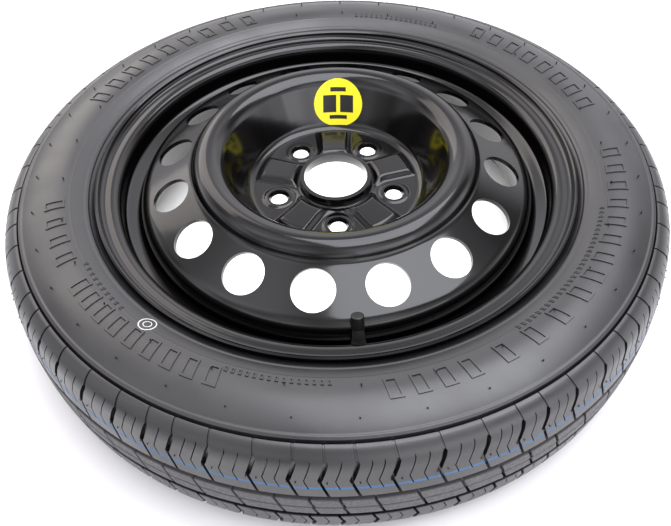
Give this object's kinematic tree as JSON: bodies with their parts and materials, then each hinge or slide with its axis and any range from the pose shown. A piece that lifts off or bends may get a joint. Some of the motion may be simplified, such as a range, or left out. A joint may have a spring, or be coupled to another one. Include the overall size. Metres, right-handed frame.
{
  "type": "spare wheel",
  "caption": "Narrow temporary-use spare wheel: a slim radial tyre on a gloss black pressed-steel wheel with a domed, vented disc, snap-in valve and round sticker.",
  "frame": {"origin": "on the wheel's axis, in the plane of the floor that the lower sidewall rests on", "axes": "+Z is the wheel's axis with the outer face up; the valve is towards -Y"},
  "size_m": [0.606, 0.606, 0.1335],
  "materials": {
    "tyre_rubber": "moulded, satin",
    "wheel_paint": "gloss black",
    "valve_rubber": "moulded, satin",
    "seal_rubber": "matte",
    "brass": "turned",
    "spring_steel": "drawn wire",
    "cap_plastic": "moulded",
    "label_vinyl": "printed film"
  },
  "bodies": {
    "wheel": {"tyre": "tyre_rubber", "rim": "wheel_paint", "wheel_disc": "wheel_paint", "disc_welds": "wheel_paint", "valve_body": "valve_rubber", "valve_stem": "brass", "core_plug": "brass", "core_barrel": "brass", "core_gasket": "seal_rubber", "core_spring": "spring_steel", "round_label": "label_vinyl"},
    "pin": {"core_pin": "brass", "core_cup": "brass", "core_cup_seal": "seal_rubber"},
    "seal": {"cap_seal": "seal_rubber"},
    "cap": {"valve_cap": "cap_plastic"}
  },
  "joints": [
    {"name": "pin_press", "type": "slide", "parent": "wheel", "child": "pin", "axis": [0.025, -0.3411, -0.9397], "range_m": [0, 0.0012], "stiffness_N_per_m": 200, "springref_m": -0.003, "deforming": ["core_spring"]},
    {"name": "cap_lift", "type": "slide", "parent": "wheel", "child": "seal", "axis": [-0.025, 0.3411, 0.9397], "range_m": [0, 0.00436]},
    {"name": "cap_turn", "type": "hinge", "parent": "seal", "child": "cap", "pos_m": [0.01333, -0.18149, 0.11279], "axis": [-0.025, 0.3411, 0.9397], "range_deg": [0, 1980]}
  ],
  "couplings": [
    {"joint": "cap_turn", "follows": "cap_lift", "rad_per_m": 7913.3}
  ]
}
